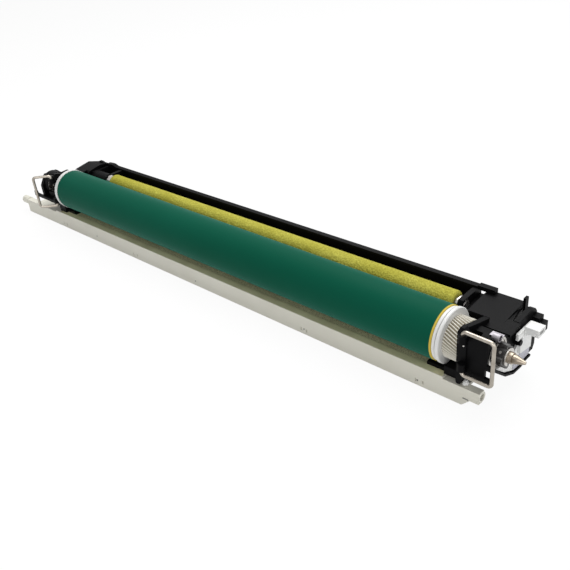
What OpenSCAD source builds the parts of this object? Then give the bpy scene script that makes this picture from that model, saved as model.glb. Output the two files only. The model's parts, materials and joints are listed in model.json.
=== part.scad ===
// Drum unit of an A3 colour copier.
// The drum turns between two end frames, over a long charger case and in front of a cleaner trough.
// X runs along the drum axis, Y points from the drum to the cleaner, Z points up.
// The origin is the front end of the drum shaft, on the drum axis.

/* [Drum] */
// Outside diameter of the coated drum tube
drum_d = 30; // [28:0.5:32]
// Length of the drum tube
drum_l = 341.7; // [300:0.1:370]
// Wall of the drum tube
tube_wall = 1; // [0.7:0.1:1.5]
// Diameter of the drum shaft in its bearings
shaft_d = 6; // [5:0.5:7]
// Radial relief of the drum shaft between its seats
shaft_relief = 0.1; // [0.05:0.05:0.2]
// Diameter of the journal at the front end of the shaft
journal_d = 5; // [4:0.5:5.4]
// Radial step of the front flange's rim above the tube
rim_over = 0.3; // [0.1:0.05:0.7]
// Thickness of the rim of the front flange
rim_t = 3; // [2:0.5:4]
// Length of the flange spigots inside the tube
spigot_l = 10; // [7:1:14]
// Thickness of the disc that closes the tube at the drive end
disc_t = 1.8; // [1.4:0.1:3]
// Radial step of the collar beside the gear above the tube
collar_over = 0.1; // [0.05:0.05:0.4]
// Thickness of the collar beside the gear
collar_t = 1.9; // [1.4:0.1:2.6]

/* [Drum gear] */
// Number of teeth of the helical drum gear
gear_teeth = 44; // [40:1:46]
// Transverse module of the helical drum gear
gear_module = 0.5; // [0.4:0.01:0.52]
// Face width of the helical drum gear
gear_w = 8.5; // [7:0.1:10]
// Helix angle of the drum gear
helix_angle = 21; // [15:1:25]

/* [Drive coupling] */
// Length of drum shaft that stands out of the drive frame
shaft_out = 14.2; // [13:0.2:18]
// Length of drum shaft that stands out of the front frame
journal_l = 4; // [3:0.5:8]
// Radius over the lobes of the drive coupling
coupling_r = 7; // [6.6:0.1:7.4]
// Thickness of the drive coupling
coupling_t = 4.6; // [4:0.2:5.4]

/* [End frames] */
// Thickness of the frame plates
plate_t = 3; // [2.5:0.1:3.5]
// Space between the two plates of the front frame
front_bay = 22.5; // [20:0.5:26]
// Space between the two plates of the drive frame
drive_bay = 9.1; // [8.5:0.1:11]
// Distance from the drum axis to the front face of the frame walls
frame_front = 12.5; // [12:0.1:13]
// Thickness of the frame walls
frame_wall = 2; // [1.6:0.1:2.4]
// Outside diameter of the ball bearings
bearing_d = 17; // [15:0.5:18]
// Width of the ball bearings
bearing_w = 6; // [5:0.5:7]

/* [Wire bails] */
// Diameter of the bail wire
wire_d = 2; // [1.6:0.1:2.2]
// Length of the legs of the drive bail
drive_bail_leg = 16.5; // [14:0.5:18]
// Length of the legs of the front bail
front_bail_leg = 13.7; // [12:0.1:16]
// Distance between the upper and the lower leg of a bail
bail_span = 25; // [24.6:0.1:26]
// Height of the upper leg of the front bail above the drum axis
front_bail_top = 15; // [14.8:0.1:15.6]
// Height of the upper leg of the drive bail above the drum axis
drive_bail_top = 15.6; // [15.2:0.1:16]
// Inside bend of the bail wire, to its centre line
bail_bend = 2.2; // [1.8:0.1:2.6]
// Length of the turned-in ends of the bail wire
bail_pin = 5.4; // [5:0.1:6.4]
// Angle of the front bail, swung out from the unit's length
front_bail_angle = 47; // [30:1:60]
// Angle of the drive bail, swung out from the unit's length
drive_bail_angle = 2; // [0:1:6]

/* [Charger] */
// Width of the charger case
case_w = 24; // [23:0.5:26]
// Gap between the drum and the grid side of the case
case_gap = 2.6; // [2:0.1:3.2]
// Height of the charger case
case_h = 12.7; // [12:0.1:14]
// Drop of the case's top face beyond the grid
case_step = 1.3; // [1:0.1:2]
// Wall of the charger case
case_wall = 1.8; // [1.4:0.1:2.2]
// Width of the front ledge of the case
ledge_w = 4.6; // [4:0.1:5.4]
// Length of the case's front rail beyond the tube at the front end
case_front_over = 62.5; // [55:0.5:70]
// Length of the case's front rail beyond the tube at the drive end
case_drive_over = 26.3; // [24:0.1:30]
// Outside diameter of the locating sleeve of the case
sleeve_d = 6.2; // [6:0.1:7]
// Bore of the locating sleeve
sleeve_bore = 3.7; // [3:0.1:4.2]
// Diameter of the locating peg at the front end
peg_d = 6.4; // [5.4:0.1:6.8]
// Length of the locating peg at the front end
peg_l = 8.3; // [6:0.1:10]
// Thickness of the grid
grid_t = 0.3; // [0.2:0.1:0.5]
// Pitch of the electrode's teeth
tooth_pitch = 4; // [3:0.5:6]

/* [Cleaner] */
// Diameter of the foam roller
roller_d = 13; // [12:0.5:14]
// Distance from the front end of the tube to the foam roller
roller_start = 28; // [26:0.5:30]
// Distance from the front end of the tube to the trough
trough_start = 1; // [0.5:0.5:2]
// Distance from the foam roller to the drive end of the tube
roller_end_gap = 7.5; // [7:0.1:9]
// Angle of the foam roller's axis above the drum's axis, seen from the drum
roller_rise = 11; // [9:0.5:13]
// Gap between the drum and what faces it
drum_gap = 0.3; // [0.25:0.05:0.5]
// Diameter of the roller shaft
roller_shaft_d = 5; // [4:0.5:5.2]
// Distance from the foam roller's axis to the outside of the rear wall
rear_reach = 15.4; // [14.6:0.2:17]
// Height of the rear wall above the drum axis
rear_top = 9.9; // [9.4:0.1:11]
// Wall of the cleaner trough
trough_wall = 2; // [1.6:0.1:2.4]
// Width of the lip on the rear wall
lip_w = 3.4; // [3:0.1:4.5]
// Diameter of the waste auger
auger_d = 9; // [8:0.5:9.5]
// Pitch of the waste auger
auger_pitch = 16; // [14:1:20]
// Thickness of the cleaning blade
blade_t = 2; // [1.6:0.1:2.4]
// Free width of the cleaning blade
blade_w = 12; // [10:0.5:13]

/* [Cleaner gears] */
// Module of the cleaner's spur gears
spur_module = 0.5; // [0.48:0.01:0.52]
// Teeth of the gears on the roller and the auger
spur_teeth = 16; // [15:1:17]
// Teeth of the idler gear
idler_teeth = 32; // [30:1:34]
// Face width of the spur gears
spur_w = 4; // [3:0.5:5]

/* [Fits] */
// Radial clearance of a shaft that turns in its bearing
run_gap = 0.05; // [0.02:0.01:0.1]
// Radial clearance of pieces that are pressed together
seat_gap = 0.02; // [0.01:0.01:0.04]
// Gap between faces that pass each other
face_gap = 0.5; // [0.3:0.1:0.7]

/* [Hidden] */
$fn = 64;

drum_r = drum_d / 2;
tube_r = drum_r - tube_wall;
rim_r = drum_r + rim_over;
collar_r = drum_r + collar_over;
case_top = drum_r + case_gap;
case_floor = case_top + case_h;
shaft_r = shaft_d / 2;
bearing_r = bearing_d / 2;
wire_r = wire_d / 2;

// Stations along the drum axis, from the front end of the shaft
x_front_outer = journal_l;
x_front_inner = x_front_outer + plate_t + front_bay;
x_rim = x_front_inner + plate_t + face_gap;
x_tube = x_rim + rim_t;
x_tube_end = x_tube + drum_l;
groove_t = 0.5;
x_collar = x_tube_end + disc_t + groove_t;
x_gear = x_collar + collar_t;
x_gear_end = x_gear + gear_w;
x_drive_inner = x_gear_end + face_gap;
x_drive_bay = x_drive_inner + plate_t;
x_drive_outer = x_drive_bay + drive_bay;
x_drive_face = x_drive_outer + plate_t;
x_coupling = x_drive_face + face_gap;
x_shaft_end = x_drive_face + shaft_out;
x_cover_end = x_drive_inner + 9.4;

// Foam roller and waste auger, seen along X as [y, z]
roller_r = roller_d / 2;
roller_dist = drum_r + roller_r + drum_gap;
roller_c = roller_dist * [cos(roller_rise), sin(roller_rise)];
x_roller = x_tube + roller_start;
x_roller_end = x_tube_end - roller_end_gap;
spur_r = spur_module * spur_teeth / 2;
idler_r = spur_module * idler_teeth / 2;
train_angle = -69;
train_dir = [cos(train_angle), sin(train_angle)];
idler_c = roller_c + (spur_r + idler_r) * train_dir;
auger_c = roller_c + 2 * (spur_r + idler_r) * train_dir;

// Cleaner trough
rear_y = roller_c[0] + rear_reach;
trough_floor = case_floor;
trough_front = drum_r + 2 * drum_gap;
trough_lip = -17;
end_wall_t = 3;
collar_l = 2;
front_collar_l = 5.5;
x_wall_front = x_roller - front_collar_l - face_gap - end_wall_t;
x_wall_drive = x_roller_end + collar_l + face_gap;
x_trough = x_tube + trough_start;
x_trough_end = x_wall_drive + end_wall_t;

// Charger case
case_front = -case_w / 2;
x_case = x_tube - case_front_over;
x_case_end = x_tube_end + case_drive_over;
x_grid = x_tube - 10;
x_grid_end = x_tube_end - 6.7;
x_step = x_tube_end + 5.8;
sleeve_c = [case_front + ledge_w - sleeve_d / 4, -(case_top + case_step + sleeve_d / 2 + 0.5)];
peg_c = [case_front + ledge_w - 1.65, -(case_top + case_step + peg_d / 2) + 0.7];

// Bail hinges
front_hinge = [x_front_inner + 0.6, -frame_front - wire_d / 2 - 0.4];
drive_hinge = [x_drive_inner + 3.8, -frame_front - 1.5];

// A cylinder along X from x0 to x1 about the axis c = [y, z]
module rod(x0, x1, r, c = [0, 0]) {
    translate([x0, c[0], c[1]]) rotate([0, 90, 0]) cylinder(h = x1 - x0, r = r);
}

// A tube along X
module ring(x0, x1, r, bore, c = [0, 0]) {
    difference() {
        rod(x0, x1, r, c);
        rod(x0 - 1, x1 + 1, bore, c);
    }
}

// A box given by its lowest and highest corners
module block(low, high) {
    translate(low) cube(high - low);
}

// An outline of [y, z] points, extruded along X from x0 to x1
module slab(x0, x1, points) {
    translate([x0, 0, 0]) rotate([90, 0, 90]) linear_extrude(x1 - x0) polygon(points);
}

// An outline of [x, z] points, extruded along Y from y0 to y1
module wall_xz(y0, y1, points) {
    translate([0, y1, 0]) rotate([90, 0, 0]) linear_extrude(y1 - y0) polygon(points);
}

// Outline of a gear with straight-sided teeth
function gear_points(teeth, module_size, add, ded, share) = [
    for (i = [0 : teeth - 1], k = [0 : 3])
        let (
            step = 360 / teeth,
            r = module_size * teeth / 2 + (k == 1 || k == 2 ? add : -ded) * module_size,
            half = (k == 1 || k == 2 ? share * 0.28 : share * 0.75) * step,
            a = i * step + (k < 2 ? -half : half)
        )
        r * [cos(a), sin(a)]
];

module drum_tube() {
    color("seagreen") ring(x_tube, x_tube_end, drum_r, tube_r);
}

// The spigot of a flange: a ring in the tube, a hub on the shaft and ribs between them
module spigot(x0, x1, web_x, web_t) {
    hub_r = shaft_r + 2.5;
    ring(x0, x1, tube_r - seat_gap, tube_r - 2);
    ring(x0, x1, hub_r, shaft_r + seat_gap);
    ring(web_x, web_x + web_t, tube_r - 1, shaft_r + seat_gap);
    for (a = [0 : 60 : 300])
        rotate([a, 0, 0]) block([x0, hub_r - 0.5, -0.8], [x1, tube_r - 1.5, 0.8]);
}

module front_flange() {
    color("white") {
        spigot(x_tube, x_tube + spigot_l, x_tube, 2);
        difference() {
            rod(x_rim, x_tube, rim_r);
            rod(x_rim - 1, x_tube + 1, shaft_r + seat_gap);
            ring(x_rim - 1, x_rim + 1, drum_r - 3, shaft_r + 2.5);
        }
    }
}

// Helical teeth, turning from the top towards the front as X grows
module helical_teeth() {
    pitch_r = gear_module * gear_teeth / 2;
    twist = gear_w * tan(helix_angle) / pitch_r * 180 / PI;
    translate([x_gear, 0, 0]) rotate([90, 0, 90])
        linear_extrude(gear_w, twist = -twist, slices = 5, $fn = 6)
            polygon(gear_points(gear_teeth, gear_module, 1, 1.25, 0.42));
}

module gear_flange() {
    root_r = gear_module * (gear_teeth / 2 - 1.25);
    color("white") {
        spigot(x_tube_end - spigot_l, x_tube_end, x_tube_end - 2, 2);
        ring(x_tube_end, x_collar - groove_t, drum_r - 0.5, shaft_r + seat_gap);
        ring(x_collar - groove_t, x_collar, drum_r - 1.2, shaft_r + seat_gap);
        ring(x_collar, x_gear, collar_r, shaft_r + seat_gap);
        difference() {
            helical_teeth();
            rod(x_gear - 1, x_gear_end + 1, shaft_r + seat_gap);
            ring(x_gear_end - 4, x_gear_end + 1, root_r - 1.8, shaft_r + 2.5);
        }
    }
}

// Place of the cross pin that carries the drive coupling
pin_r = 0.75;
x_pin = x_coupling + coupling_t / 2;
clip_t = 0.8;
x_clip = x_coupling + coupling_t + 0.1;

module drum_shaft() {
    tip_l = 4.7;
    tip_step = 0.7;
    flat_l = 1.6;
    flat_y = 1.8;
    groove_depth = 0.5;
    journal_end = x_front_outer - 0.5;
    seat_front = x_front_outer + frame_wall + bearing_w + 1;
    seat_drive = x_drive_face - bearing_w - 1;
    x_flats = x_shaft_end - tip_l - flat_l;
    color("silver") difference() {
        union() {
            rod(0, journal_end + 0.1, journal_d / 2);
            rod(journal_end, seat_front, shaft_r);
            rod(seat_front - 0.1, seat_drive + 0.1, shaft_r - shaft_relief);
            rod(seat_drive, x_flats, shaft_r);
            rod(x_flats - 0.1, x_shaft_end - tip_l, shaft_r - tip_step);
            translate([x_shaft_end - tip_l, 0, 0]) rotate([0, 90, 0])
                cylinder(h = tip_l, r1 = shaft_r - tip_step, r2 = 0.8);
        }
        rotate([45, 0, 0]) translate([x_pin, 0, 0])
            cylinder(h = shaft_d + 2, r = pin_r + seat_gap, center = true);
        ring(x_clip - 0.05, x_clip + clip_t + 0.05, shaft_r + 1, shaft_r - groove_depth);
        for (s = [0, 1])
            mirror([0, s, 0]) block([x_flats, flat_y, -shaft_d], [x_shaft_end + 1, shaft_d, shaft_d]);
    }
}

module drive_coupling() {
    lobe_r = 1.9;
    color("dimgray") difference() {
        union() {
            rod(x_coupling, x_coupling + coupling_t, coupling_r - 1.6);
            for (a = [0 : 90 : 270])
                rotate([a, 0, 0]) rod(x_coupling, x_coupling + coupling_t, lobe_r, [coupling_r - lobe_r, 0]);
        }
        rod(x_coupling - 1, x_coupling + coupling_t + 1, shaft_r + seat_gap);
        rotate([45, 0, 0]) translate([x_pin, 0, 0])
            cylinder(h = 3 * coupling_r, r = pin_r + seat_gap, center = true);
    }
}

module coupling_pin() {
    color("silver") rotate([45, 0, 0]) translate([x_pin, 0, 0])
        cylinder(h = 2 * (coupling_r - 2), r = pin_r, center = true);
}

module shaft_clip() {
    color("gainsboro") difference() {
        ring(x_clip, x_clip + clip_t, shaft_r + 1.6, shaft_r - 0.5 + seat_gap);
        block([x_clip - 1, -1.6, -shaft_d], [x_clip + clip_t + 1, 1.6, 0]);
    }
}

// A shielded ball bearing: two races with a set-back shield between them
module ball_bearing(x0) {
    shield = 0.5;
    color("silver") difference() {
        ring(x0, x0 + bearing_w, bearing_r, shaft_r + run_gap);
        for (x = [x0 - 1, x0 + bearing_w - shield])
            ring(x, x + 1 + shield, bearing_r - 1.3, shaft_r + 1.4);
    }
}

module front_bearing() {
    ball_bearing(x_front_outer + frame_wall);
}

module drive_bearing() {
    ball_bearing(x_drive_face - bearing_w);
}

// A lug with a vertical hole that takes one turned-in end of a bail
module lug(hinge, z0, z1) {
    translate([hinge[0], hinge[1], z0]) cylinder(h = z1 - z0, r = wire_r + 1.1);
}

module lug_hole(hinge, z0, z1) {
    translate([hinge[0], hinge[1], z0]) cylinder(h = z1 - z0, r = wire_r + run_gap);
}

lug_h = bail_pin - bail_bend + 0.2;

module bail_lugs(hinge, top) {
    high = top - bail_bend;
    low = top - bail_span + bail_bend;
    lug(hinge, high - lug_h - 1, high);
    lug(hinge, low, low + lug_h + 1);
}

module bail_holes(hinge, top) {
    high = top - bail_bend;
    low = top - bail_span + bail_bend;
    lug_hole(hinge, high - lug_h - 0.5, high + 1);
    lug_hole(hinge, low - 1, low + lug_h + 0.5);
}

// Wall of the bosses that hold the bearings
boss_wall = 0.8;
frame_low = -10.5;
frame_top = 14.2;

module front_frame() {
    tab = 11.5;
    outer = [
        [-frame_front + 1.4, frame_low], [-frame_front + 1.4, 0.5], [-6, 8.6], [5, 8.6], [11, 3],
        [11, frame_low]
    ];
    inner = [
        [-frame_front, frame_low], [-frame_front, frame_top - 0.8], [-11, 16], [-8, 15.6],
        [-6, 14.2], [-3, 14.8], [1.6, 15], [2.4, 13.2], [9, 11], [12, 6], [12, frame_low]
    ];
    front_edge = [
        [x_front_outer - tab, frame_low], [x_front_outer - tab, -6.4], [x_front_outer - tab + 2.2, -6.4],
        [x_front_outer - tab + 3, -8.3], [x_front_inner, -8.3], [x_front_inner, frame_low]
    ];
    seat_end = x_front_outer + frame_wall + bearing_w;
    color("dimgray") difference() {
        union() {
            slab(x_front_outer, x_front_outer + plate_t, outer);
            slab(x_front_inner, x_front_inner + plate_t, inner);
            wall_xz(-frame_front, -frame_front + frame_wall, front_edge);
            block(
                [x_front_outer, -frame_front + 0.5, frame_low],
                [x_front_inner + 1, 11, frame_low + frame_wall]
            );
            rod(x_front_outer, seat_end, bearing_r + boss_wall);
            for (y = [-9, 9 - frame_wall])
                wall_xz(y, y + frame_wall, [
                    [seat_end - 1, frame_low + 1], [x_front_inner + 1, frame_low + 1],
                    [x_front_inner + 1, 3], [seat_end + 6, -4], [seat_end - 1, -4]
                ]);
            bail_lugs(front_hinge, front_bail_top);
        }
        rod(x_front_outer - 1, x_front_outer + 4, shaft_r + 1);
        rod(x_front_outer + frame_wall, seat_end + 1, bearing_r + seat_gap);
        rod(x_front_inner - 1, x_front_inner + plate_t + 1, shaft_r + 2);
        bail_holes(front_hinge, front_bail_top);
    }
}

// Lower edge of the drive frame's outer plate, whose rim stands under the white end plate
rim_h = 1.2;
plate_low = [[-7.6, -6], [4.6, -16.2], [13.6, -20.2], [21.6, -20.7], [25.4, -19.4], [31.2, -19.4]];
plate_low_in = [for (k = [5 : -1 : 0]) plate_low[k] + [k == 0 ? 1 : 0, rim_h]];

module drive_frame() {
    inner = [
        [-frame_front + 0.3, frame_low], [-frame_front + 0.3, frame_top - 1], [-8, frame_top],
        [2, 11.2], [12.6, 8.4],
        [12.6, -8], [10, frame_low - 3], [4, frame_low - 3]
    ];
    post_x = x_drive_inner + 5;
    foot_top = -9;
    foot_r = 1.5;
    foot_x = x_drive_inner + foot_r;
    foot_z = -(case_top + case_step) + 1.6 + foot_r;
    panel_y = -frame_front + 0.7;
    panel_t = 1.7;
    panel_end = x_drive_face + 0.8;
    deck_end = x_drive_face + 1.4;
    rim_x = x_drive_face + 2.4;
    color("dimgray") difference() {
        union() {
            slab(x_drive_inner, x_drive_bay, inner);
            slab(x_drive_outer, x_drive_face,
                concat(plate_low, [[31.2, -6], [22, 2], [16, 5.8], [-7.6, 5]]));
            slab(x_drive_face - 1, rim_x, concat(plate_low, plate_low_in));
            wall_xz(-frame_front, -9.6, [
                [x_drive_inner, foot_z - 0.2], [x_drive_inner, frame_top - 1],
                [x_drive_inner + 1.7, frame_top + 2.4], [x_drive_inner + 3.6, frame_top + 2.2],
                [post_x, frame_top - 0.2], [post_x, foot_top],
                [x_drive_bay, foot_top - 2], [x_drive_bay, foot_z - 0.2]
            ]);
            translate([foot_x, -9.6, foot_z]) rotate([90, 0, 0])
                cylinder(h = frame_front - 9.6, r = foot_r);
            block(
                [x_drive_inner, panel_y, frame_low],
                [panel_end, panel_y + panel_t, frame_top - 1]
            );
            block(
                [panel_end - 1, panel_y, frame_low],
                [panel_end + 2.8, panel_y + panel_t, -0.8]
            );
            block([x_drive_bay - 1, -1, 6.6], [x_drive_outer - 0.6, 3.6, 9]);
            slab(x_drive_bay - 1, deck_end, [[8.4, 4.6], [15.2, 5.3], [15.2, 6.7], [8.4, 6]]);
            slab(x_cover_end + 0.2, deck_end, [[15, 5.25], [18.6, 5.6], [18.6, 7], [15, 6.65]]);
            rod(x_drive_face - 1, x_drive_face + 3.4, 1.5, [16.9, -2.8]);
            rod(x_drive_face - bearing_w - 1.5, x_drive_face, bearing_r + boss_wall);
            block([x_drive_outer, -frame_front + 1, -5], [x_drive_face, 0, 8]);
            bail_lugs(drive_hinge, drive_bail_top);
        }
        rod(x_drive_face - bearing_w - 2.5, x_drive_face, shaft_r + 1);
        rod(x_drive_face - bearing_w, x_drive_face + 1, bearing_r + seat_gap);
        rod(x_drive_inner - 1, x_drive_bay + 1, shaft_r + 2);
        block([panel_end - 1, -frame_front - 1, -8.2], [panel_end + 2.2, -9.5, -3.4]);
        bail_holes(drive_hinge, drive_bail_top);
    }
}

// A bent wire handle that lies along +X from its hinge at angle 0, before it is mirrored or turned
module bail_wire(length) {
    bend = bail_bend;
    h = bail_span;
    leg = length - bend;
    module quarter(x, z, a) {
        translate([x, 0, z]) rotate([90, 0, 0]) rotate([0, 0, a])
            rotate_extrude(angle = 90, $fn = 32) translate([bend, 0]) circle(r = wire_r, $fn = 24);
    }
    for (m = [0, 1])
        translate([0, 0, m * h]) mirror([0, 0, m]) {
            translate([0, 0, bend - 0.01]) cylinder(h = bail_pin - bend, r = wire_r, $fn = 24);
            translate([bend - 0.01, 0, 0]) rotate([0, 90, 0])
                cylinder(h = leg - bend + 0.02, r = wire_r, $fn = 24);
        }
    translate([length, 0, bend - 0.01]) cylinder(h = h - 2 * bend + 0.02, r = wire_r, $fn = 24);
    quarter(bend, bend, 180);
    quarter(leg, bend, 270);
    quarter(leg, h - bend, 0);
    quarter(bend, h - bend, 90);
}

module front_bail() {
    color("tan") translate([front_hinge[0], front_hinge[1], front_bail_top - bail_span])
        rotate([0, 0, front_bail_angle]) mirror([1, 0, 0]) bail_wire(front_bail_leg);
}

module drive_bail() {
    color("tan") translate([drive_hinge[0], drive_hinge[1], drive_bail_top - bail_span])
        rotate([0, 0, -drive_bail_angle]) bail_wire(drive_bail_leg);
}

// Drop of the grid below the case's upper edge
grid_drop = 0.8;

// Where the electrode sits across the case
slot_y = case_front + ledge_w + (case_w - ledge_w - case_wall) / 2;

module charger_case() {
    step_top = -(case_top + case_step);
    back = case_front + ledge_w;
    floor_z = -case_floor;
    x_floor_end = x_case_end - 14;
    x_box = x_tube - 20;
    x_box_end = x_case_end - 24;
    mark_w = 0.8;
    rail = [
        [case_front, floor_z + 0.5], [case_front + 0.5, floor_z], [back, floor_z],
        [back, floor_z + case_wall], [case_front + case_wall, floor_z + case_wall],
        [case_front + case_wall, step_top - case_wall], [back, step_top - case_wall],
        [back, step_top], [case_front, step_top]
    ];
    color("ivory") difference() {
        union() {
            slab(x_case, x_floor_end, rail);
            difference() {
                slab(x_floor_end - 1, x_case_end, rail);
                wall_xz(case_front - 1, back + 1, [
                    [x_floor_end + 3, floor_z - 1], [x_case_end + 1, floor_z - 1],
                    [x_case_end + 1, sleeve_c[1] - sleeve_d / 2 + 0.2],
                    [x_floor_end + 9, sleeve_c[1] - sleeve_d / 2 + 0.2]
                ]);
            }
            block([x_grid - 6, case_front, step_top - 0.5], [x_step, back - 0.4, -case_top]);
            block([x_box, back - 1, floor_z], [x_floor_end, -case_front, floor_z + case_wall]);
            block(
                [x_box, -case_front - case_wall, floor_z],
                [x_box_end, -case_front, -case_top - grid_drop]
            );
            for (x = [x_box, x_box_end - case_wall])
                block([x, back - 1, floor_z], [x + case_wall, -case_front, floor_z + 6]);
            rod(x_case - peg_l, x_case + 0.02, peg_d / 2, peg_c);
            block([x_case, case_front + 1, peg_c[1] - peg_d / 2], [x_case + 5, back - 1, step_top - 1]);
            block([x_case + 14, back - 1, step_top - case_wall], [x_grid - 5, back + 6.5, step_top]);
            rod(x_floor_end, x_case_end, sleeve_d / 2, sleeve_c);
            for (x = [x_case + 20, x_floor_end + 6])
                block([x, case_front + 0.5, step_top - 1], [x + case_wall, back, floor_z + 4]);
        }
        rod(x_case_end - 10, x_case_end + 1, sleeve_bore / 2, sleeve_c);
        for (x = [x_tube - 5, x_tube + 89, x_tube_end - 88, x_tube_end - 8])
            for (s = [-1, 1])
                block(
                    [x + s * 2.2 - mark_w / 2, case_front - 1, floor_z + 2.4],
                    [x + s * 2.2 + mark_w / 2, case_front + 0.6, floor_z + 4.6]
                );
    }
}

module charger_shield() {
    y0 = case_front + ledge_w + 0.2;
    y1 = -case_front - case_wall - 0.2;
    z0 = -case_floor + case_wall;
    z1 = -case_top - 2.4;
    t = 0.5;
    color("lightgray") slab(x_grid + 6, x_grid_end - 6, [
        [y0, z0], [y1, z0], [y1, z1], [y1 - t, z1], [y1 - t, z0 + t], [y0 + t, z0 + t],
        [y0 + t, z1], [y0, z1]
    ]);
}

// A thin strip with a row of points along its upper edge
module charger_electrode() {
    z0 = -case_floor + case_wall + 0.5;
    x0 = x_grid + 4;
    count = floor((x_grid_end - x_grid - 8) / tooth_pitch);
    color("silver") wall_xz(slot_y - 0.15, slot_y + 0.15, concat(
        [[x0, z0]],
        [for (i = [0 : count - 1], k = [0, 1, 2])
            [x0 + (i + k / 3) * tooth_pitch + tooth_pitch / 6, z0 + (k == 1 ? 5 : 3.2)]],
        [[x0 + count * tooth_pitch, z0]]
    ));
}

module charger_grid() {
    y0 = case_front + ledge_w - 0.2;
    y1 = -case_front - case_wall;
    z = -case_top - grid_drop;
    rows = 6;
    bays = 8;
    bay = (x_grid_end - x_grid - 8) / bays;
    row = (y1 - y0 - 2) / rows;
    color("lightgray") difference() {
        block([x_grid, y0, z], [x_grid_end, y1, z + grid_t]);
        for (i = [0 : bays - 1], k = [0 : rows - 1])
            block(
                [x_grid + 4 + i * bay + 1, y0 + 1 + k * row + 0.5, z - 1],
                [x_grid + 4 + (i + 1) * bay - 1, y0 + 1 + (k + 1) * row - 0.5, z + 1]
            );
    }
}

// A moulded block that closes one end of the charger and carries the frame
module end_block(x0, x1, near_r, under, top) {
    y0 = case_front + ledge_w - 0.2;
    y1 = -case_front - case_wall;
    z0 = -case_top - grid_drop;
    block([x0, y0, z0], [x1, y1, -near_r]);
    block([under[0], y0 - 2, -case_top], [under[1], 9, top]);
}

module front_end_block() {
    x1 = x_grid + 16;
    color("dimgray") difference() {
        end_block(x_grid - 4, x1, rim_r + drum_gap, [x_grid - 2, x_rim - face_gap], frame_low);
        block(
            [x_grid - 0.02, -case_w, -case_top - 1],
            [x1 + 1, case_w, -case_top - grid_drop + grid_t + 0.02]
        );
    }
}

module drive_end_block() {
    gear_r = gear_module * (gear_teeth / 2 + 1);
    color("dimgray")
        end_block(
            x_grid_end + 0.1, x_drive_inner, collar_r + face_gap,
            [x_gear + 0.5, x_drive_inner], -gear_r - 0.8
        );
}

module charger_terminal() {
    c = [case_front + 2.4, -(case_top + case_step) + 1.6];
    color("white") {
        rod(x_drive_bay + 0.3, x_drive_bay + 1.8, 1.6, c);
        rod(x_drive_bay + 1.7, x_drive_bay + 2.6, 1, c);
    }
}

module cleaner_housing() {
    w = trough_wall;
    lip_over = 9.4;
    lip_rise = 0.7;
    lip_t = 1.6;
    out = [
        [trough_front, trough_lip], [trough_front, -trough_floor + 3], [trough_front + 3, -trough_floor],
        [rear_y - 2, -trough_floor], [rear_y, -trough_floor + 2], [rear_y, rear_top],
        [rear_y - lip_w, rear_top], [rear_y - lip_w, rear_top - lip_t], [rear_y - w, rear_top - lip_t],
        [rear_y - w, -trough_floor + 2.6], [rear_y - 2.6, -trough_floor + w],
        [trough_front + 3.6, -trough_floor + w], [trough_front + w, -trough_floor + 3.6],
        [trough_front + w, trough_lip]
    ];
    wall = [
        [trough_front + 0.4, trough_lip - 1], [trough_front + 0.4, -trough_floor + 3],
        [trough_front + 3, -trough_floor + 0.5], [rear_y - 2, -trough_floor + 0.5],
        [rear_y - 0.5, -trough_floor + 2], [rear_y - 0.5, rear_top - 1],
        [roller_c[0] + 5.5, rear_top - 1], [roller_c[0] + 4, roller_c[1] + 4.6],
        [roller_c[0] - 3, roller_c[1] + 4.6], [roller_c[0] - 5.2, roller_c[1] + 1],
        [roller_c[0] - 5.2, -4], [19, -12], [17.6, trough_lip]
    ];
    color("dimgray") difference() {
        union() {
            slab(x_trough, x_trough_end, out);
            for (x = [x_trough, x_wall_front, x_wall_drive])
                slab(x, x + end_wall_t, wall);
            rod(x_trough + 1, x_wall_front + 1, bush_r + 1.6, roller_c);
            wall_xz(rear_y - lip_w, rear_y, [
                [x_trough, rear_top - 0.1], [x_trough, rear_top + 0.7], [x_trough + 6, rear_top + 1.2],
                [x_trough + 8.5, rear_top + 1.1], [x_trough + 12, rear_top - 0.1]
            ]);
            block(
                [x_trough_end - 0.5, rear_y - lip_w - 0.1, rear_top - lip_t - 0.1],
                [x_trough_end + lip_over, rear_y + 0.1, rear_top + lip_rise]
            );
            for (i = [1 : 5])
                block(
                    [x_trough + i * (x_trough_end - x_trough) / 6, rear_y - 0.5, -trough_floor + 3],
                    [x_trough + i * (x_trough_end - x_trough) / 6 + 1.6, rear_y + 1, rear_top - 3]
                );
        }
        for (x = [x_wall_front, x_wall_drive]) {
            rod(x - 1, x + end_wall_t + 1, bush_r + seat_gap, roller_c);
            rod(x - 1, x + end_wall_t + 1, auger_shaft_r + run_gap, auger_c);
        }
        rod(x_trough - 1, x_wall_front + 1, bush_r, roller_c);
        rod(x_trough - 1, x_trough + end_wall_t + 1, auger_shaft_r + face_gap, auger_c);
    }
}

bush_r = roller_shaft_d / 2 + 1;
auger_shaft_r = 2;

// A plain bush pressed into an end wall, with its flange inside the trough
module bush(x0, x1, flange_x0, flange_x1) {
    color("silver") difference() {
        union() {
            rod(x0, x1, bush_r, roller_c);
            rod(flange_x0, flange_x1, bush_r + 1.2, roller_c);
        }
        rod(x0 - 2, x1 + 2, roller_shaft_d / 2 + run_gap, roller_c);
    }
}

module front_bush() {
    x = x_wall_front + end_wall_t;
    bush(x_wall_front, x, x, x + 0.8);
}

module drive_bush() {
    bush(x_wall_drive, x_wall_drive + end_wall_t, x_wall_drive - 0.8, x_wall_drive);
}

module foam_roller() {
    color("khaki") ring(x_roller, x_roller_end, roller_r, roller_shaft_d / 2 + seat_gap, roller_c);
}

x_spur = x_trough - face_gap - spur_w;

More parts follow.
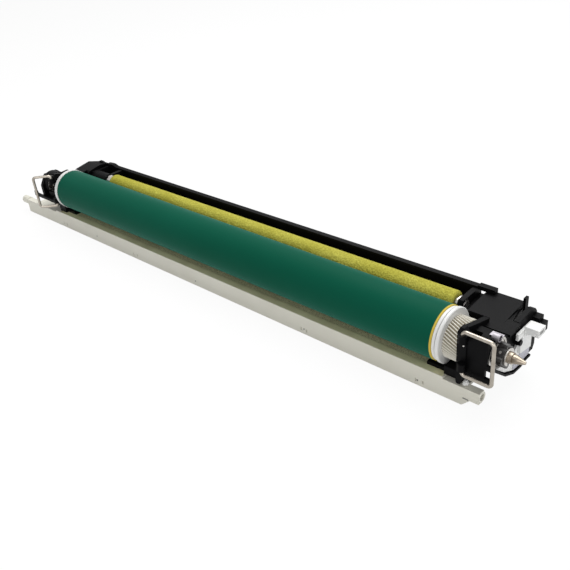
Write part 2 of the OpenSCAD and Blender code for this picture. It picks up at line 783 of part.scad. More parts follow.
module roller_shaft() {
    color("silver") {
        rod(x_spur - 1.5, x_wall_drive + end_wall_t, roller_shaft_d / 2, roller_c);
        rod(x_roller - front_collar_l + 0.5, x_roller, bush_r + 1.2, roller_c);
        rod(x_roller_end, x_roller_end + collar_l - 0.8, roller_shaft_d / 2 + 1, roller_c);
    }
}

// A spur gear whose tooth 0 points along the direction turn
module spur(teeth, c, turn, bore) {
    difference() {
        translate([x_spur, c[0], c[1]]) rotate([turn, 0, 0]) rotate([90, 0, 90])
            linear_extrude(spur_w) polygon(gear_points(teeth, spur_module, 0.9, 1.25, 0.4));
        rod(x_spur - 1, x_spur + spur_w + 1, bore, c);
    }
}

module roller_gear() {
    color("whitesmoke") spur(spur_teeth, roller_c, train_angle, roller_shaft_d / 2 + seat_gap);
}

module idler_gear() {
    idler_turn = train_angle + 180 + 180 / idler_teeth;
    color("whitesmoke") spur(idler_teeth, idler_c, idler_turn, idler_pin_r + run_gap);
}

module auger_gear() {
    color("whitesmoke")
        spur(spur_teeth, auger_c, train_angle + 180 + (idler_teeth % 2 == 0 ? 0 : 180 / spur_teeth),
            auger_shaft_r + seat_gap);
}

idler_pin_r = 2;

// The flight of the waste auger, swept round its shaft
module waste_auger() {
    x0 = x_wall_front + end_wall_t + 1;
    x1 = x_wall_drive - 1;
    turns = floor((x1 - x0) / auger_pitch);
    flight_l = turns * auger_pitch;
    color("gray") {
        rod(x_spur - 1, x_wall_drive + end_wall_t, auger_shaft_r, auger_c);
        translate([x0, auger_c[0], auger_c[1]]) rotate([90, 0, 90])
            linear_extrude(flight_l, twist = -360 * turns, slices = 10 * turns, $fn = 6)
                polygon([[-0.8, -1], [0.8, -1], [0.7, auger_d / 2], [-0.7, auger_d / 2]]);
    }
}

// The blade's tip lies near the drum; the blade runs down and back from it
blade_angle = -30;
blade_tip = (drum_r + drum_gap) * [cos(blade_angle), sin(blade_angle)];
blade_u = [0.6, -0.8];
blade_n = [0.8, 0.6];

module cleaning_blade() {
    color("tan") slab(x_roller - 1, x_roller_end + 1, [
        blade_tip, blade_tip + blade_w * blade_u, blade_tip + blade_w * blade_u + blade_t * blade_n,
        blade_tip + blade_t * blade_n
    ]);
}

module blade_bracket() {
    t = 1.6;
    back = blade_tip + blade_t * blade_n;
    color("lightgray") slab(x_wall_front + end_wall_t, x_wall_drive, [
        back + 4.5 * blade_u, back + 13 * blade_u, back + 13 * blade_u + t * blade_n,
        back + 4.5 * blade_u + t * blade_n
    ]);
}

module recovery_film() {
    film_angle = -38;
    tip = (drum_r + drum_gap) * [cos(film_angle), sin(film_angle)];
    t = 0.25;
    color("lightyellow") slab(x_roller - 1, x_roller_end + 1, [
        tip, [trough_front + 0.2, trough_lip], [trough_front + 0.2 + t, trough_lip], tip + [t, 0]
    ]);
}

// Cover of the gears at the front end of the cleaner
module front_gear_cover() {
    x0 = x_front_inner - 8.5;
    x1 = x_trough;
    x_mid = x_rim - 0.2;
    cut_y = 26;
    cut_low = 2.2;
    w = trough_wall;
    y_in = drum_r + drum_gap + 0.5;
    y_out = -case_front + 2 * drum_gap;
    low = -trough_floor + 0.5;
    crest = [26.6, 11.6];
    function slope(y) = crest - (crest[0] - y) * [0, 0.17];
    function shell(y) = [
        [y, -20], [y + 5, low], [rear_y - 2, low], [rear_y, low + 2], [rear_y, rear_top - 0.6], [34, 11],
        crest, [y + 1, slope(y + 1)[1]], [y, slope(y)[1] - 1]
    ];
    function hollow(y) = [
        [y, -19], [y + 4, low + w], [rear_y - w - 1.4, low + w], [rear_y - w, low + w + 1.4],
        [rear_y - w, rear_top - w], [31, 11.8 - w], [26, 11.2 - w], [y, 8.2]
    ];
    module upper_corner(grow) {
        translate([0, 0, cut_low - grow]) linear_extrude(12)
            polygon([
                [x0 - 1, cut_y - 1.4 * grow], [x0 - 1, rear_y + 1], [x0 + 12 + 1.4 * grow, rear_y + 1]
            ]);
    }
    color("dimgray") {
        difference() {
            union() {
                slab(x0, x_mid, shell(y_out));
                slab(x_mid - 1, x1, shell(y_in));
            }
            difference() {
                slab(x0 + w, x_mid - w, hollow(y_out + w));
                upper_corner(w);
            }
            slab(x_mid - w - 0.5, x1 + 1, hollow(y_in + 1));
            upper_corner(0);
        }
        rod(x0 + w - 0.5, x_spur + spur_w, idler_pin_r, idler_c);
        wall_xz(31.4, 33.4, [
            [x_mid - 5, 10], [x_mid + 3.8, 10], [x_mid + 3.8, 11.2], [x_mid + 0.4, 12.2], [x_mid - 3, 12.2]
        ]);
    }
}

// Cover over the drive end of the cleaner: a rear strip, a sloping face and a fin
module drive_end_cover() {
    x0 = x_trough_end;
    x1 = x_cover_end;
    x2 = x_drive_outer - 0.2;
    w = trough_wall;
    low = -trough_floor + 5;
    ridge = 30.8;
    function top(y) = 8 - max(0, ridge - y) * 0.1;
    y_gear = drum_r + face_gap;
    fin_y = 18.9;
    fin_low = low + 10;
    fin_top = top(y_gear) - 1.3;
    outer = [
        [y_gear, low + 3], [y_gear + 3, low], [rear_y - 2, low], [rear_y, low + 2],
        [rear_y, top(rear_y)], [ridge, top(ridge)], [y_gear, top(y_gear)]
    ];
    inner = [
        [y_gear + w, low + 4], [y_gear + w + 2, low + w], [rear_y - w - 1, low + w],
        [rear_y - w, low + w + 1], [rear_y - w, top(rear_y) - w], [ridge, top(ridge) - w],
        [y_gear + w, top(y_gear) - w]
    ];
    color("dimgray") {
        difference() {
            union() {
                slab(x_collar, x1, outer);
                slab(x0, x_collar + 1, [
                    [y_gear + 1, low + 3], [y_gear + 4, low + 0.5], [rear_y - 2.5, low + 0.5],
                    [rear_y - 0.5, low + 2.5], [rear_y - 0.5, 4.6], [ridge, 4.2], [y_gear + 1, 2]
                ]);
            }
            slab(x_collar + w, x1 - w, inner);
            slab(x0 + w, x_collar + w + 1, [
                [y_gear + w + 1, low + 5], [y_gear + w + 3, low + w + 1], [rear_y - w - 2, low + w + 1],
                [rear_y - w - 1, low + w + 2], [rear_y - w - 1, 2.6], [y_gear + w + 1, 0]
            ]);
            rod(x0 - 1, x_gear + face_gap, collar_r + face_gap);
        }
        translate([0, 0, fin_low]) linear_extrude(fin_top + 0.1 - fin_low)
            polygon([[x1 - 1, fin_y], [x2, fin_y], [x1, rear_y - 1], [x1 - 1, rear_y - 1]]);
        translate([0, 0, fin_top]) linear_extrude(top(y_gear) - fin_top)
            polygon([[x1 - 1, fin_y], [x2, fin_y], [x1, ridge], [x1 - 1, ridge]]);
        block([x1 - 0.6, rear_y - 1, -4], [x1 + 0.8, rear_y + 2.2, 10.2]);
    }
}

// End plate behind the drive frame: rounded rear corner and two stepped ribs
module rear_end_plate() {
    x0 = x_drive_outer + 0.7;
    x1 = x_drive_face + 0.6;
    back = rear_y + 1.6;
    profile = [
        [31.5, -19], [back - 1.6, -19], [back, -16], [back, 1.6], [back - 0.8, 4.6], [back - 2.6, 6.8],
        [back - 5.6, 8.2], [back - 8, 8.2], [19.2, 7], [19.2, 4.2], [22.6, 2.6], [31.5, -5.8]
    ];
    color("dimgray") {
        slab(x0, x1, profile);
        block([x1 - 1, 33, -1], [x1 + 3.6, back - 0.2, 3.2]);
        block([x1 + 2.8, 34, -4.6], [x1 + 6.1, back - 0.3, 0.6]);
    }
}

// White plate that closes the drive frame under the coupling
module end_plate() {
    x0 = x_drive_face;
    outline = [
        [-6.4, -5], [5.2, -14.4], [14, -18.6], [21.2, -19.2], [25.6, -18], [30.8, -18], [30.8, -9],
        [29.6, -7.4], [23, -4.8], [18, -4.8], [12, -8.4], [5, -9], [-1, -8], [-6.4, -4]
    ];
    color("white") difference() {
        slab(x0, x0 + 1.4, outline);
        rod(x0 - 1, x0 + 2, coupling_r + 0.8);
    }
}

// Rolled metal strip that lies on the bearing boss and touches the machine's frame
module ground_spring() {
    curl = 2;
    y = -2;
    low = bearing_r + boss_wall;
    x0 = x_drive_outer - 1.4;
    x1 = x_drive_face + 1.7;
    color("silver") {
        difference() {
            rod(x_drive_face - 2, x1, curl, [y, low + curl - 1.3]);
            rod(x_drive_face - 3, x1 + 1, curl - 0.5, [y, low + curl - 1.3]);
            rod(x_drive_face - 3, x_drive_face, low + 0.02);
        }
        block([x0, y + 0.5, low + 0.05], [x1, 2, low + 0.55]);
    }
}

module connector() {
    x0 = x_drive_face + 2.9;
    low = 1;
    high = 5.2;
    color("whitesmoke") difference() {
        block([x0, 20, low], [x0 + 7.6, 27, high]);
        block([x0 + 4, 21, low + 1], [x0 + 8, 26, high - 1]);
    }
}

module connector_bracket() {
    x0 = x_drive_face + 1.4;
    color("white") {
        slab(x0, x0 + 1.5, [
            [18, -10], [29.4, -12], [29.4, 3.4], [14.4, 3.4], [14.4, -0.6], [19.2, -0.8], [19.2, -4.8],
            [17.4, -5.2]
        ]);
        block([x0, 20, 0], [x0 + 3, 27, 1]);
    }
}

drum_tube();
front_flange();
gear_flange();
drum_shaft();
drive_coupling();
coupling_pin();
shaft_clip();
front_bearing();
drive_bearing();
front_frame();
drive_frame();
front_bail();
drive_bail();
charger_case();
charger_shield();
charger_electrode();
charger_grid();
front_end_block();
drive_end_block();
charger_terminal();
cleaner_housing();
front_gear_cover();
drive_end_cover();
rear_end_plate();
end_plate();
foam_roller();
roller_shaft();
front_bush();
drive_bush();
roller_gear();
idler_gear();
waste_auger();
auger_gear();
cleaning_blade();
blade_bracket();
recovery_film();
ground_spring();
connector();
connector_bracket();
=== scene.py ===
import json
import math

import bmesh
import bpy
from mathutils import Matrix, Vector, noise


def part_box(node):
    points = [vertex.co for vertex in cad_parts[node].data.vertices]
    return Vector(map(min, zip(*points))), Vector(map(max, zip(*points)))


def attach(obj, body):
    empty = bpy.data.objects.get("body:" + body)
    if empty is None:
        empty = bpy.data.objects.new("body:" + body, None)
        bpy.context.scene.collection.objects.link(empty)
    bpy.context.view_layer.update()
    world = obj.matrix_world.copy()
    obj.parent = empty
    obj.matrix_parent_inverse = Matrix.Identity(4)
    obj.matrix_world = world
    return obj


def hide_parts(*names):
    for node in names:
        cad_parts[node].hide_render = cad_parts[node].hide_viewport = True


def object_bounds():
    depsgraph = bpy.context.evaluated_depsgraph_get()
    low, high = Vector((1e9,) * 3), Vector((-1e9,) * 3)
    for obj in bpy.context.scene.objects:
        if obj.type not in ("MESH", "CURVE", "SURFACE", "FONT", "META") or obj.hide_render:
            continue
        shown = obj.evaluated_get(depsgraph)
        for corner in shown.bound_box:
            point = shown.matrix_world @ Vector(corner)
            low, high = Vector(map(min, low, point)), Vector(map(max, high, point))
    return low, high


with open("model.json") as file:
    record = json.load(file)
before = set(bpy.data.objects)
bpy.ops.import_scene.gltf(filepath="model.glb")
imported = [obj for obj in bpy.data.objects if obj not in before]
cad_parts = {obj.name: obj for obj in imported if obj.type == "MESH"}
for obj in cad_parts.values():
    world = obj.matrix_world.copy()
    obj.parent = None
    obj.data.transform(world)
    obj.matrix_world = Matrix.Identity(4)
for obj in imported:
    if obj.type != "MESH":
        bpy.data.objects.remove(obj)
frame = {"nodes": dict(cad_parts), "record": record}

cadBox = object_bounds()
record = frame["record"]
bodyOf = {n: body for body, members in record["behaviour"]["bodies"].items() for n in members}
slotOf = {part["node"]: part["material_slot"] for part in record["subparts"]}
print("frame loaded,", len(bodyOf), "nodes")

# The camera stands where the photograph was taken from, in the part's own frame
cameraSettings = {
    "azimuth": 45.908,  # degrees
    "elevation": 30.506,
    "roll": -5.722,
    "place": (0.53515, -0.26168, 0.21112),
    "lens": 45.466,  # mm
    "sensor": 36,
    "clip": (0.01, 20),
}


def makeCamera(s):
    a, e, roll = (math.radians(s[k]) for k in ("azimuth", "elevation", "roll"))
    back = Vector((math.sin(a) * math.cos(e), -math.cos(a) * math.cos(e), math.sin(e)))
    side = Vector((0, 0, 1)).cross(back).normalized()
    up = back.cross(side)
    right = side * math.cos(roll) + up * math.sin(roll)
    top = up * math.cos(roll) - side * math.sin(roll)
    data = bpy.data.cameras.new("camera")
    data.sensor_width, data.lens = s["sensor"], s["lens"]
    data.clip_start, data.clip_end = s["clip"]
    cam = bpy.data.objects.new("camera", data)
    bpy.context.scene.collection.objects.link(cam)
    turned = Matrix((right, top, back)).transposed().to_4x4()
    turned.translation = Vector(s["place"])
    cam.matrix_world = turned
    bpy.context.scene.camera = cam


makeCamera(cameraSettings)
print("camera placed")


# Materials are built from these few steps
def startMaterial(name, **values):
    mat = bpy.data.materials.new(name)
    mat.use_nodes = True
    shader = mat.node_tree.nodes["Principled BSDF"]
    for key, value in values.items():
        shader.inputs[key.replace("_", " ")].default_value = value
    return mat, mat.node_tree, shader


def feed(tree, socket, value):  # a socket takes a link, a colour or a number
    if isinstance(value, bpy.types.NodeSocket):
        tree.links.new(value, socket)
    elif isinstance(value, tuple):
        socket.default_value = (*value, 1)
    else:
        socket.default_value = value


def objectPlace(tree, stretch=(1, 1, 1)):
    coord = tree.nodes.new("ShaderNodeTexCoord")
    mapping = tree.nodes.new("ShaderNodeMapping")
    mapping.inputs["Scale"].default_value = stretch
    tree.links.new(coord.outputs["Object"], mapping.inputs["Vector"])
    return mapping.outputs["Vector"]


def splitPlace(tree, place):
    node = tree.nodes.new("ShaderNodeSeparateXYZ")
    tree.links.new(place, node.inputs[0])
    return node.outputs


def axisDistance(tree, place):  # how far a point is from the drum's axis
    across = tree.nodes.new("ShaderNodeVectorMath")
    across.operation = "MULTIPLY"
    across.inputs[1].default_value = (0, 1, 1)
    tree.links.new(place, across.inputs[0])
    radius = tree.nodes.new("ShaderNodeVectorMath")
    radius.operation = "LENGTH"
    tree.links.new(across.outputs[0], radius.inputs[0])
    return radius.outputs["Value"]


def cloudy(tree, vector, scale, detail=4.0, roughness=0.55):
    node = tree.nodes.new("ShaderNodeTexNoise")
    node.inputs["Scale"].default_value = scale
    node.inputs["Detail"].default_value = detail
    node.inputs["Roughness"].default_value = roughness
    tree.links.new(vector, node.inputs["Vector"])
    return node.outputs["Fac"]


def cells(tree, vector, scale, feature="F1"):
    node = tree.nodes.new("ShaderNodeTexVoronoi")
    node.feature = feature
    node.inputs["Scale"].default_value = scale
    tree.links.new(vector, node.inputs["Vector"])
    return node.outputs["Distance"]


def spread(tree, factor, stops):
    node = tree.nodes.new("ShaderNodeValToRGB")
    ramp = node.color_ramp
    while len(ramp.elements) < len(stops):
        ramp.elements.new(0.5)
    for element, (position, colour) in zip(ramp.elements, stops):
        element.position = position
        element.color = (*colour, 1)
    tree.links.new(factor, node.inputs["Fac"])
    return node.outputs["Color"]


def level(tree, factor, low, high, start=0.0, end=1.0):
    node = tree.nodes.new("ShaderNodeMapRange")
    node.inputs["From Min"].default_value = start
    node.inputs["From Max"].default_value = end
    node.inputs["To Min"].default_value = low
    node.inputs["To Max"].default_value = high
    tree.links.new(factor, node.inputs["Value"])
    return node.outputs["Result"]


def combined(tree, operation, first, second):
    node = tree.nodes.new("ShaderNodeMath")
    node.operation = operation
    feed(tree, node.inputs[0], first)
    feed(tree, node.inputs[1], second)
    return node.outputs[0]


def layered(tree, factor, under, over):
    node = tree.nodes.new("ShaderNodeMix")
    node.data_type = "RGBA"
    feed(tree, node.inputs[0], factor)
    feed(tree, node.inputs[6], under)
    feed(tree, node.inputs[7], over)
    return node.outputs[2]


def raised(tree, shader, height, strength, distance, under=None):
    node = tree.nodes.new("ShaderNodeBump")
    node.inputs["Strength"].default_value = strength
    node.inputs["Distance"].default_value = distance
    tree.links.new(height, node.inputs["Height"])
    if under is not None:
        tree.links.new(under, node.inputs["Normal"])
    tree.links.new(node.outputs["Normal"], shader.inputs["Normal"])
    return node.outputs["Normal"]


# Plastics: grain and patch are pattern scales, relief is the grain's height in metres
blackLook = {
    "light": (0.0034, 0.0034, 0.0038), "dark": (0.0018, 0.0018, 0.0020), "roughness": (0.36, 0.52),
    "grain": 2600, "patch": 90, "depth": 0.35, "relief": 0.00012, "gloss": 0.05,
}
ivoryLook = {
    "light": (0.605, 0.594, 0.522), "dark": (0.568, 0.554, 0.482), "roughness": (0.42, 0.55),
    "grain": 1500, "patch": 45, "depth": 0.12, "relief": 0.00012, "gloss": 0.4,
}
whiteLook = {
    "light": (0.640, 0.645, 0.640), "dark": (0.600, 0.600, 0.585), "roughness": (0.34, 0.46),
    "grain": 1800, "patch": 120, "depth": 0.1, "relief": 0.00012, "gloss": 0.45,
}
greyLook = {
    "light": (0.16, 0.16, 0.16), "dark": (0.11, 0.11, 0.11), "roughness": (0.4, 0.55),
    "grain": 1800, "patch": 90, "depth": 0.2, "relief": 0.00012, "gloss": 0.5,
}
couplingLook = {
    "light": (0.0125, 0.011, 0.010), "dark": (0.007, 0.006, 0.006), "roughness": (0.28, 0.42),
    "grain": 2200, "patch": 200, "depth": 0.25, "relief": 0.00012, "gloss": 0.45,
}
# grey for the patch of painted shade on the end plate
shadePatchLook = {
    "light": (0.40, 0.40, 0.45), "dark": (0.35, 0.35, 0.39), "roughness": (0.4, 0.5),
    "grain": 1800, "patch": 120, "depth": 0.1, "relief": 0.00012, "gloss": 0.4,
}
rubberLook = {
    "light": (0.42, 0.26, 0.10), "dark": (0.34, 0.20, 0.07), "roughness": (0.5, 0.62),
    "grain": 1200, "patch": 80, "depth": 0.15, "relief": 0.00012, "gloss": 0.5,
}


def mouldedPlastic(name, look):
    mat, tree, shader = startMaterial(name, IOR=1.5, Specular_IOR_Level=look["gloss"])
    place = objectPlace(tree)
    broad = cloudy(tree, place, look["patch"], 3)
    fine = cloudy(tree, place, look["grain"], 2, 0.6)
    colour = spread(tree, broad, [(0.3, look["dark"]), (0.72, look["light"])])
    tree.links.new(colour, shader.inputs["Base Color"])
    tree.links.new(level(tree, broad, *look["roughness"]), shader.inputs["Roughness"])
    raised(tree, shader, fine, look["depth"], look["relief"])
    return mat


# Metals: brushed stretches the fine lines along the piece
wireLook = {
    "light": (0.46, 0.425, 0.37), "dark": (0.34, 0.305, 0.26), "roughness": (0.28, 0.44),
    "brushed": (1, 1, 1), "lines": 900, "patch": 260, "depth": 0.15, "relief": 0.00005,
}
steelLook = {
    "light": (0.62, 0.60, 0.57), "dark": (0.46, 0.44, 0.41), "roughness": (0.2, 0.38),
    "brushed": (14, 1, 1), "lines": 500, "patch": 160, "depth": 0.2, "relief": 0.00005,
}
shaftLook = {
    "light": (0.40, 0.345, 0.28), "dark": (0.27, 0.228, 0.18), "roughness": (0.26, 0.42),
    "brushed": (12, 1, 1), "lines": 420, "patch": 220, "depth": 0.2, "relief": 0.00005,
}
sheetLook = {
    "light": (0.30, 0.295, 0.205), "dark": (0.21, 0.205, 0.135), "roughness": (0.34, 0.5),
    "brushed": (1, 9, 9), "lines": 300, "patch": 70, "depth": 0.2, "relief": 0.00005,
}
springLook = {
    "light": (0.36, 0.345, 0.37), "dark": (0.27, 0.255, 0.275), "roughness": (0.5, 0.62),
    "brushed": (6, 1, 1), "lines": 500, "patch": 200, "depth": 0.15, "relief": 0.00005,
}


def metal(name, look):
    mat, tree, shader = startMaterial(name, Metallic=1.0)
    place = objectPlace(tree, look["brushed"])
    lines = cloudy(tree, place, look["lines"], 3, 0.6)
    patch = cloudy(tree, objectPlace(tree), look["patch"], 4)
    colour = spread(tree, patch, [(0.3, look["dark"]), (0.7, look["light"])])
    tree.links.new(colour, shader.inputs["Base Color"])
    tree.links.new(level(tree, lines, *look["roughness"]), shader.inputs["Roughness"])
    raised(tree, shader, lines, look["depth"], look["relief"])
    return mat


# Green coating with fine rings round the drum, and a bare amber band at the drive end
drumLook = {
    "light": (0.0030, 0.068, 0.0395), "dark": (0.0022, 0.060, 0.0335), "roughness": (0.40, 0.50),
    "gloss": 0.02, "sheen": 0.14, "sheenSpread": 0.4, "sheenTint": (0.3, 1.0, 0.9, 1),
    "patch": 9, "patchStretch": (1, 3, 3), "rings": 30, "ringStretch": (40, 1, 1),
    "depth": 0.05, "relief": 0.00003,
    "amber": (0.50, 0.37, 0.06), "band": (0.00105, 0.00080),  # from the tube's end, m
}


def drumCoat(look):
    mat, tree, shader = startMaterial(
        "drumCoat", IOR=1.5, Specular_IOR_Level=look["gloss"], Sheen_Weight=look["sheen"],
        Sheen_Roughness=look["sheenSpread"], Sheen_Tint=look["sheenTint"])
    broad = cloudy(tree, objectPlace(tree, look["patchStretch"]), look["patch"], 3)
    rings = cloudy(tree, objectPlace(tree, look["ringStretch"]), look["rings"], 3, 0.6)
    green = spread(tree, broad, [(0.25, look["dark"]), (0.75, look["light"])])
    along = splitPlace(tree, objectPlace(tree))[0]
    start, end = (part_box("drum_tube")[1].x - inset for inset in look["band"])
    colour = layered(tree, level(tree, along, 0.0, 1.0, start, end), green, look["amber"])
    tree.links.new(colour, shader.inputs["Base Color"])
    tree.links.new(level(tree, rings, *look["roughness"]), shader.inputs["Roughness"])
    raised(tree, shader, rings, look["depth"], look["relief"])
    return mat


# Foam: open pores over a soft uneven skin, with painted shade darkening the pores
foamLook = {
    "light": (0.50, 0.48, 0.088), "dark": (0.40, 0.38, 0.055), "poreShadeColour": (0.19, 0.165, 0.012),
    "roughness": 0.85, "gloss": 0.2, "patch": 60,
    "pores": 1000, "poreShade": 0.8, "poreDepth": 0.75, "poreRelief": 0.0004,
    "soft": 600, "softDepth": 0.5, "softRelief": 0.0005,
}


def yellowFoam(look):
    mat, tree, shader = startMaterial(
        "yellowFoam", Roughness=look["roughness"], IOR=1.35, Specular_IOR_Level=look["gloss"])
    place = objectPlace(tree)
    pores = cells(tree, place, look["pores"])
    soft = cloudy(tree, place, look["soft"], 5, 0.65)
    patch = cloudy(tree, place, look["patch"], 3)
    yellow = spread(tree, patch, [(0.3, look["dark"]), (0.7, look["light"])])
    shade = level(tree, pores, look["poreShade"], 0.0)
    # painted shade: the pores take a darker colour
    colour = layered(tree, shade, yellow, look["poreShadeColour"])
    tree.links.new(colour, shader.inputs["Base Color"])
    first = raised(tree, shader, soft, look["softDepth"], look["softRelief"])
    raised(tree, shader, pores, look["poreDepth"], look["poreRelief"], first)
    return mat


# Gear teeth: painted shade darkens the gaps between them, by the distance from the axis, and noise
# lays random patches of the same colour on them
toothLook = {
    "crest": (0.68, 0.665, 0.60), "groove": (0.34, 0.30, 0.22), "root": 0.01045, "tip": 0.01148,
    "patch": 300, "dust": 0.3, "grain": 2500, "depth": 0.1, "relief": 0.0001,
}


def gearPlastic(look):
    mat, tree, shader = startMaterial("gearPlastic", Specular_IOR_Level=0.3, Roughness=0.42)
    place = objectPlace(tree)
    depth = level(tree, axisDistance(tree, place), 0.0, 1.0, look["root"], look["tip"])
    # painted shade: the roots between the teeth take the darker groove colour
    tone = spread(tree, depth, [(0.1, look["groove"]), (0.95, look["crest"])])
    dust = level(tree, cloudy(tree, place, look["patch"], 3), 0.0, look["dust"])
    colour = layered(tree, dust, tone, look["groove"])
    tree.links.new(colour, shader.inputs["Base Color"])
    raised(tree, shader, cloudy(tree, place, look["grain"], 2), look["depth"], look["relief"])
    return mat


# Etched grid: cell shaped openings behind a plain border strip. The pale olive colour is painted
# reflection of the green drum and painted light under the drum's shadow, and the openings are
# painted shade
# light and dark are painted reflection and painted light; the openings' colour is painted shade
meshLook = {
    "light": (0.70, 0.68, 0.43), "dark": (0.56, 0.54, 0.33), "openingShade": (0.40, 0.39, 0.23),
    "roughness": (0.45, 0.6), "cell": 900, "cellStretch": (1, 1, 0.2), "wire": (0.10, 0.22),
    "patch": 60, "border": 0.0012, "depth": 0.3, "relief": 0.0002,
}


def etchedMesh(look):
    mat, tree, shader = startMaterial("etchedMesh", Metallic=0.1, Specular_IOR_Level=0.3)
    place = objectPlace(tree)
    patch = cloudy(tree, place, look["patch"], 4)
    holes = cells(tree, objectPlace(tree, look["cellStretch"]), look["cell"], "DISTANCE_TO_EDGE")
    tone = spread(tree, patch, [(0.3, look["dark"]), (0.7, look["light"])])
    wire, hole = look["wire"]
    # painted shade: the cell openings take a darker colour
    openingShade = spread(tree, holes, [(wire, (0, 0, 0)), (hole, (1, 1, 1))])
    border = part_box("charger_grid")[0].y + look["border"]
    inside = combined(tree, "GREATER_THAN", splitPlace(tree, place)[1], border)
    colour = layered(tree, combined(tree, "MULTIPLY", openingShade, inside), tone, look["openingShade"])
    tree.links.new(colour, shader.inputs["Base Color"])
    tree.links.new(level(tree, patch, *look["roughness"]), shader.inputs["Roughness"])
    raised(tree, shader, holes, look["depth"], look["relief"])
    return mat


materials = {
    "drum_coating": drumCoat(drumLook),
    "white_moulding": mouldedPlastic("whiteMoulding", whiteLook),
    "shaft_steel": metal("steel", steelLook),
    "coupling_plastic": mouldedPlastic("couplingBlack", couplingLook),
    "bail_wire": metal("nickelWire", wireLook),
    "ivory_plastic": mouldedPlastic("ivory", ivoryLook),
    "sheet_steel": metal("sheetSteel", sheetLook),
    "black_plastic": mouldedPlastic("blackPlastic", blackLook),
    "yellow_foam": yellowFoam(foamLook),
    "grey_plastic": mouldedPlastic("greyPlastic", greyLook),
    "blade_rubber": mouldedPlastic("bladeRubber", rubberLook),
}
shaftBronze = metal("shaftBronze", shaftLook)
gridMesh = etchedMesh(meshLook)
gearWhite = gearPlastic(toothLook)
springGrey = metal("springGrey", springLook)
shadePatchGrey = mouldedPlastic("shadePatchGrey", shadePatchLook)
print("materials made for", len(materials), "slots")


# Steps that the pieces share
def addPiece(name, mesh, body, slot, material, *stoodFor):
    piece = bpy.data.objects.new(name, mesh)
    bpy.context.scene.collection.objects.link(piece)
    mesh.materials.clear()
    mesh.materials.append(material)
    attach(piece, body)
    if stoodFor:
        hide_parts(*stoodFor)
    return piece


def keepMesh(bm, name):
    mesh = bpy.data.meshes.new(name)
    bm.to_mesh(mesh)
    bm.free()
    return mesh


def shadeSmooth(bm, crease=None):  # edges steeper than the crease, in degrees, stay sharp
    for face in bm.faces:
        face.smooth = True
    if crease:
        for edge in bm.edges:
            flat = edge.calc_face_angle(0) < math.radians(crease)
            edge.smooth = flat and len(edge.link_faces) == 2


mergeGap = 1e-6  # m, spun points this close become one


def spinAlongX(bm, profile, steps, y=0.0, z=0.0):  # profile points are (x, radius)
    ring = [bm.verts.new((x, y, z + r)) for x, r in profile]
    edges = [bm.edges.new((a, b)) for a, b in zip(ring, ring[1:] + ring[:1])]
    bmesh.ops.spin(bm, geom=ring + edges, cent=(0, y, z), axis=(1, 0, 0), angle=math.tau,
                   steps=steps, use_merge=True)
    bmesh.ops.remove_doubles(bm, verts=bm.verts, dist=mergeGap)


def addPrism(bm, x0, x1, outline):  # outline points are (y, z)
    face = bm.faces.new([bm.verts.new((x0, y, z)) for y, z in outline])
    made = bmesh.ops.extrude_face_region(bm, geom=[face])["geom"]
    verts = [g for g in made if isinstance(g, bmesh.types.BMVert)]
    bmesh.ops.translate(bm, verts=verts, vec=(x1 - x0, 0, 0))
    bmesh.ops.recalc_face_normals(bm, faces=bm.faces)


# Moulded, turned and bent pieces get their edge rounding here, from a merged copy of the node
edgeSettings = {
    "merge": 2e-6,  # m
    "sliver": 1e-6,
    "flat": 0.5,  # degrees
    "crease": 32,
    "segments": 2,
    "widths": {  # mm
        "front_frame": 0.35, "drive_frame": 0.35, "front_end_block": 0.4, "drive_end_block": 0.4,
        "cleaner_housing": 0.3, "front_gear_cover": 0.6, "drive_end_cover": 0.6,
        "rear_end_plate": 0.5, "end_plate": 0.25, "connector": 0.3, "connector_bracket": 0.25,
        "charger_case": 0.4, "charger_terminal": 0.25, "drive_coupling": 0.3,
        "front_flange": 0.25, "front_bearing": 0.2, "drive_bearing": 0.2, "shaft_clip": 0.12,
        "ground_spring": 0.08, "drum_shaft": 0.15, "roller_shaft": 0.2, "blade_bracket": 0.2,
        "cleaning_blade": 0.1, "front_bail": 0, "drive_bail": 0, "front_bush": 0.15,
        "drive_bush": 0.15, "coupling_pin": 0.1, "roller_gear": 0.08, "idler_gear": 0.08,
        "auger_gear": 0.08, "waste_auger": 0,
    },
}


def softenNode(node, width, s):
    bm = bmesh.new()
    bm.from_mesh(frame["nodes"][node].data)
    bmesh.ops.remove_doubles(bm, verts=bm.verts, dist=s["merge"])
    bmesh.ops.dissolve_degenerate(bm, edges=bm.edges, dist=s["sliver"])
    if width:
        bmesh.ops.dissolve_limit(bm, angle_limit=math.radians(s["flat"]), verts=bm.verts,
                                 edges=bm.edges)
    shadeSmooth(bm, s["crease"])
    mesh = keepMesh(bm, node + "Soft")
    slot = slotOf[node]
    piece = addPiece(node + "_soft", mesh, bodyOf[node], slot, materials[slot], node)
    if width:
        bevel = piece.modifiers.new("edges", "BEVEL")
        bevel.width, bevel.segments = width / 1000, s["segments"]
        bevel.limit_method, bevel.angle_limit = "ANGLE", math.radians(s["crease"])
        bevel.use_clamp_overlap = True
        bevel.harden_normals = True
    return piece


softened = {}
for node, width in edgeSettings["widths"].items():
    softened[node] = softenNode(node, width, edgeSettings)
softened["drum_shaft"].data.materials[0] = shaftBronze
softened["ground_spring"].data.materials[0] = springGrey
print("edges rounded on", len(softened), "pieces")

# Drum tube: one turned profile, round enough to keep its highlight clean
tubeSettings = {
    "turns": 224,
    "wall": 0.001,
    "edge": 0.0003,  # small chamfer at both ends
    "bare": 0.0009,  # width of the uncoated band at the drive end
    "coat": 0.00004,  # the band is this much lower
    "fade": 0.0002,
    "crease": 30,
}


